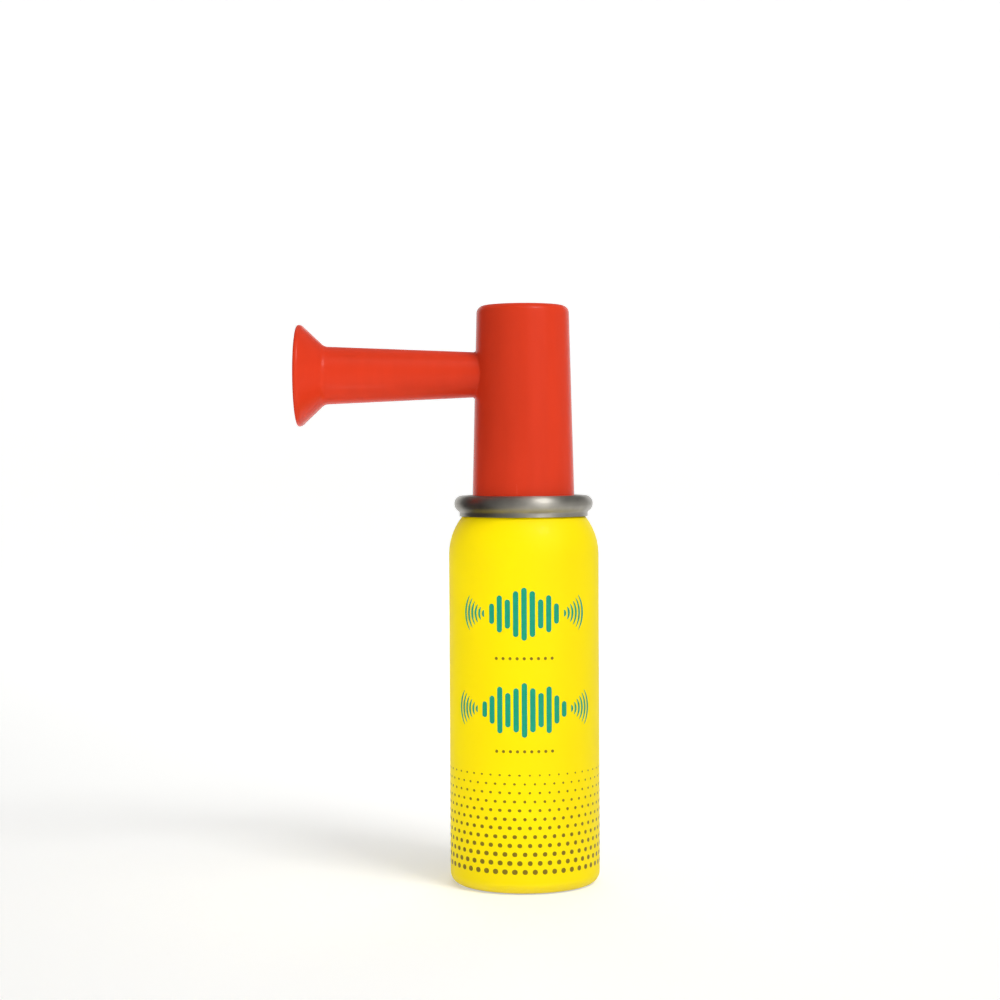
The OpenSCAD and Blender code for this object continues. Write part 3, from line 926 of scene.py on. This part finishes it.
def bar_outlines(level, heights, width, pitch):
    """Outlines of upright bars side by side: a half circle, a straight run, a half circle and a run back."""
    end_points = 11
    upper_end = np.linspace(0, math.pi, end_points)
    turn = np.concatenate([upper_end, math.pi + upper_end, [2 * math.pi]])
    straight = np.concatenate([np.full(end_points, 1.0), np.full(end_points, -1.0), [1.0]])
    reach = (heights - width) / 2
    arc = in_a_row(len(heights), pitch)[:, None] + width / 2 * np.cos(turn)
    height = level + reach[:, None] * straight + width / 2 * np.sin(turn)
    return arc, height


def wave_grids(can, print_, centre, level, way):
    """Sound waves on one side: arcs of growing radius whose width falls to nothing at both ends.

    The width goes with the cosine of the share of the arc, to the power of 0.6.
    """
    share = np.linspace(-1, 1, 33)
    turn = share * print_.wave_spread
    radius = print_.wave_first + np.arange(print_.waves)[:, None] * print_.wave_pitch
    half = print_.wave_width / 2 * np.cos(share * math.pi / 2) ** 0.6
    half[[0, -1]] = 0
    inner, outer = radius - half, radius + half
    low, high = can.radius - print_.ink, can.radius + print_.ink

    def edge(r, surface):
        """One edge of every wave: r cos t aside and r sin t up from the centre, on that surface."""
        return on_can(surface, centre + way * r * np.cos(turn), level + r * np.sin(turn))

    edges = [edge(inner, low), edge(inner, high), edge(outer, high), edge(outer, low), edge(inner, low)]
    return list(np.stack(edges, axis=1))


def dot_outlines(arc, height, radius):
    """Outlines of round dots: a circle of 12 sides about each place."""
    turn = np.linspace(0, 2 * math.pi, 13)
    arc, height, radius = (value[:, None] for value in np.broadcast_arrays(arc, height, radius))
    return arc + radius * np.cos(turn), height + radius * np.sin(turn)


class AIRHORN_OT_can(Operator):
    """Makes the lacquered can"""

    bl_idname = "airhorn.can"
    bl_label = "Can"

    def execute(self, context):
        settings = context.scene.air_horn
        profile = with_steps(can_profile(settings.can), CAN_STEP)
        grid = turned(profile, settings.can.sides)
        yellow = lacquered_aluminium(settings.can, settings.colours)
        piece = make_piece("lacquered_can", [grid], yellow, "can")
        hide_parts("can_shell")
        return {"FINISHED"}


class AIRHORN_OT_print(Operator):
    """Prints sound bars, sound waves and dots on the can"""

    bl_idname = "airhorn.print"
    bl_label = "Print"

    def execute(self, context):
        settings = context.scene.air_horn
        can, print_ = settings.can, settings.print
        teal = printing_ink("teal printing ink", settings.colours.ink)
        brown = printing_ink("brown printing ink", settings.colours.brown)
        bars, waves = [], []
        for level, heights in ((print_.upper, UPPER_BARS), (print_.lower, LOWER_BARS)):
            outline = bar_outlines(level, heights, print_.bar_width, print_.bar_pitch)
            bars += ink_patches(can, print_.ink, *outline)
            edge = len(heights) / 2 * print_.bar_pitch
            for way in (-1, 1):
                waves += wave_grids(can, print_, way * edge, level, way)
        make_piece("print_bars", bars, teal, "can")
        make_piece("print_waves", waves, teal, "can")

        # The band goes all round, every second row is half a pitch further on, and its dots fade upwards
        row, column = np.indices((print_.dot_rows, print_.dot_columns)).reshape(2, -1)
        share = np.linspace(0, 1, print_.dot_rows)[row]
        pitch = 2 * math.pi * can.radius / print_.dot_columns
        arc = (column + row % 2 / 2) * pitch
        height = print_.dot_low + share * (print_.dot_high - print_.dot_low)
        radius = print_.dot_large + share * (print_.dot_small - print_.dot_large)
        dots = ink_patches(can, print_.ink, *dot_outlines(arc, height, radius))
        short = in_a_row(print_.row_dots, print_.row_pitch)
        for level in (print_.row_upper, print_.row_lower):
            dots += ink_patches(can, print_.ink, *dot_outlines(short, level, print_.row_dot))
        make_piece("print_dots", dots, brown, "can")
        return {"FINISHED"}


class AIRHORN_OT_valve_cup(Operator):
    """Makes the valve cup with its rolled rim"""

    bl_idname = "airhorn.valve_cup"
    bl_label = "Valve cup"

    def execute(self, context):
        settings = context.scene.air_horn
        grid = turned(cup_profile(settings.cup), settings.cup.sides)
        tin = tinplate(settings.colours)
        piece = make_piece("rolled_valve_cup", [grid], tin, "can")
        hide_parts("valve_cup")
        return {"FINISHED"}


class AIRHORN_OT_horn(Operator):
    """Makes the moulded horn with its trumpet"""

    bl_idname = "airhorn.horn"
    bl_label = "Horn"

    def execute(self, context):
        settings = context.scene.air_horn
        grids, windows = horn_grids(settings.horn)
        red = moulded_polyethylene(settings.colours)
        piece = make_piece("moulded_horn", grids, red, "horn", windows)
        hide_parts("horn_shell")
        return {"FINISHED"}


class AIRHORN_OT_spring(Operator):
    """Makes the valve's spring"""

    bl_idname = "airhorn.spring"
    bl_label = "Spring"

    def execute(self, context):
        settings = context.scene.air_horn
        spring = settings.spring
        grid = spring_grid(spring, SPRING_LOW.z, SPRING_HIGH.z)
        # Drawn wire: bright, with fine marks
        steel = inner_material("spring steel", settings.colours.steel, 0.3, 0.3 * MM, 1.0)
        piece = make_piece("wound_spring", [grid], steel, "can")
        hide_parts("valve_spring")
        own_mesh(piece)
        return {"FINISHED"}


class AIRHORN_OT_inner_parts(Operator):
    """Gives the pieces inside the can and the horn their materials"""

    bl_idname = "airhorn.inner_parts"
    bl_label = "Inner parts"

    def execute(self, context):
        colours = context.scene.air_horn.colours
        # Moulded seals: matt and nearly black
        rubber = inner_material("nitrile rubber", colours.rubber, 0.7, 0.2 * MM)
        # Injection moulded: waxy and off-white
        acetal = inner_material("moulded acetal", colours.white, 0.38, 0.5 * MM, 0.0, 1.48)
        # Injection moulded: satin, and a deeper red than the shell
        core = inner_material("moulded ABS", colours.core, 0.42, 0.6 * MM, 0.0, 1.53)
        # Rolled film: smooth, with a soft shine
        film = inner_material("polyester film", colours.film, 0.2, 1.5 * MM, 0.0, 1.57)
        finishes = {
            "cup_gasket": rubber,
            "stem_gasket": rubber,
            "valve_housing": acetal,
            "valve_stem": acetal,
            "throat_core": core,
            "inlet_plug": core,
            "diaphragm": film,
        }
        for node, material in finishes.items():
            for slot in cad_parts[node].material_slots:
                slot.material = material
        return {"FINISHED"}


# Studio


def stage_sheet(name, grid, material):
    """A sheet of the studio from a grid of points."""
    sheet = new_object(name, new_mesh(name, [grid], material))
    return sheet


def add_lamp(name, power, size, spread, azimuth, elevation, distance, aim, mirrored):
    """A lamp of that width and height, at a distance from the X and height that it aims at.

    Its azimuth goes from the front to the right. Where it isn't mirrored, no reflection shows it.
    """
    lamp = bpy.data.lights.new(name, "AREA")
    lamp.shape = "RECTANGLE"
    lamp.energy = power
    lamp.size, lamp.size_y = size
    lamp.spread = math.radians(spread)
    turn, rise = math.radians(azimuth), math.radians(elevation)
    flat = math.cos(rise)
    towards = Vector((math.sin(turn) * flat, -math.cos(turn) * flat, math.sin(rise)))
    holder = new_object(name, lamp)
    holder.rotation_euler = towards.to_track_quat("Z", "Y").to_euler()
    holder.location = Vector((aim[0], 0, aim[1])) + distance * towards
    holder.visible_glossy = mirrored


def add_room(scene, strength):
    """The even white light of the room."""
    world = bpy.data.worlds.new("studio room")
    world.use_nodes = True
    tree = world.node_tree
    tree.nodes.clear()
    room = add_node(tree, "Background", {"Color": WHITE, "Strength": strength})
    add_node(tree, "OutputWorld", {"Surface": room})
    scene.world = world


def add_camera(scene, stage):
    """The camera at the photograph's angle."""
    camera = bpy.data.cameras.new("photo_camera")
    camera.lens = stage.lens
    camera.sensor_width = 36
    camera.clip_start = 10 * MM
    holder = new_object("photo_camera", camera)
    eye = Vector((0, -stage.distance, stage.eye))
    look = Vector((stage.aim_x, 0, stage.aim_z)) - eye
    aim = look.to_track_quat("-Z", "Y").to_matrix().to_4x4()
    holder.matrix_world = Matrix.Translation(eye) @ aim @ Matrix.Rotation(stage.roll, 4, "Z")
    scene.camera = holder


class AIRHORN_OT_stage(Operator):
    """Makes the floor, the backdrop, the lamps and the camera"""

    bl_idname = "airhorn.stage"
    bl_label = "Stage"

    def execute(self, context):
        scene = context.scene
        settings = scene.air_horn
        stage = settings.stage
        # Paper that lies flat, a little under the foot, and bends up to a wall all round
        paper = studio_paper(settings.colours, stage.glow)
        low, reach, wall, bend, top = -0.05 * MM, 1.4, 2.4, 0.95, 1.1
        floor = np.array([[0.0, low], [reach, low]])
        backdrop = bent_line([(reach, low, 0), (wall, low, bend), (wall, top, 0)])
        for name, profile in (("studio_floor", floor), ("studio_backdrop", backdrop)):
            stage_sheet(name, turned(profile, 96), paper).data.shade_smooth()

        # A card that lies over the paper and curves up round the left side, which only reflections see: it
        # paints darker reflections, as painted shade, into the metal rim and glossy sides on the left
        low, gap, wall, bend, top = 1 * MM, 0.06, 0.8, 0.3, 0.7
        profile = bent_line([(gap, low, 0), (wall, low, bend), (wall, top, 0)])
        first, last = math.radians(-82.5), math.radians(37.5)
        card = stage_sheet("grey_card", turned(profile, 32, first, last), grey_card(settings.colours))
        card.visible_camera = False
        card.visible_diffuse = False
        card.visible_shadow = False
        card.visible_transmission = False

        # Each lamp's name, power, size, spread, azimuth, elevation, distance, aim, and if it is mirrored
        middle, lower, trumpet = (0, 80 * MM), (0, 40 * MM), (-42 * MM, 118 * MM)
        for lamp in (
            ("key_lamp", stage.key, (1.5, 2.2), 180, 37, 42, 1.6, middle, True),
            ("key_core_lamp", stage.core, (0.5, 0.5), 180, 40, 46, 1.6, middle, True),
            ("fill_lamp", stage.fill, (0.6, 0.3), 180, -16, 10, 1.2, middle, False),
            ("back_lamp", stage.back, (0.8, 0.8), 180, 180, 48, 1.2, middle, False),
            ("low_fill_lamp", stage.low_fill, (0.1, 0.1), 6, -55, 0, 0.45, lower, False),
            ("trumpet_lamp", stage.under, (0.04, 0.04), 24, -10, -50, 0.12, trumpet, False),
        ):
            add_lamp(*lamp)
        add_room(scene, stage.room)
        add_camera(scene, stage)
        scene.view_settings.view_transform = "Standard"
        return {"FINISHED"}


class AIRHORN_PT_panel(Panel):
    """Lists the pieces of the air horn"""

    bl_idname = "AIRHORN_PT_panel"
    bl_label = "Air horn"
    bl_space_type = "VIEW_3D"
    bl_region_type = "UI"
    bl_category = "Air horn"

    def draw(self, context):
        column = self.layout.column(align=True)
        for operator in OPERATORS:
            column.operator(operator.bl_idname)


GROUPS = (
    CanSettings,
    PrintSettings,
    CupSettings,
    HornSettings,
    SpringSettings,
    ColourSettings,
    StageSettings,
    AirHornSettings,
)
OPERATORS = (
    AIRHORN_OT_can,
    AIRHORN_OT_print,
    AIRHORN_OT_valve_cup,
    AIRHORN_OT_horn,
    AIRHORN_OT_spring,
    AIRHORN_OT_inner_parts,
    AIRHORN_OT_stage,
)
CLASSES = (*GROUPS, *OPERATORS, AIRHORN_PT_panel)


def register():
    """Registers the classes and the settings."""
    for item in CLASSES:
        bpy.utils.register_class(item)
    bpy.types.Scene.air_horn = PointerProperty(type=AirHornSettings)


def unregister():
    """Takes the settings and the classes out again."""
    del bpy.types.Scene.air_horn
    for item in reversed(CLASSES):
        bpy.utils.unregister_class(item)


def main():
    """Builds every piece in order."""
    register()
    bpy.ops.airhorn.can()
    bpy.ops.airhorn.print()
    bpy.ops.airhorn.valve_cup()
    bpy.ops.airhorn.horn()
    bpy.ops.airhorn.spring()
    bpy.ops.airhorn.inner_parts()
    bpy.ops.airhorn.stage()


if __name__ == "__main__":
    main()
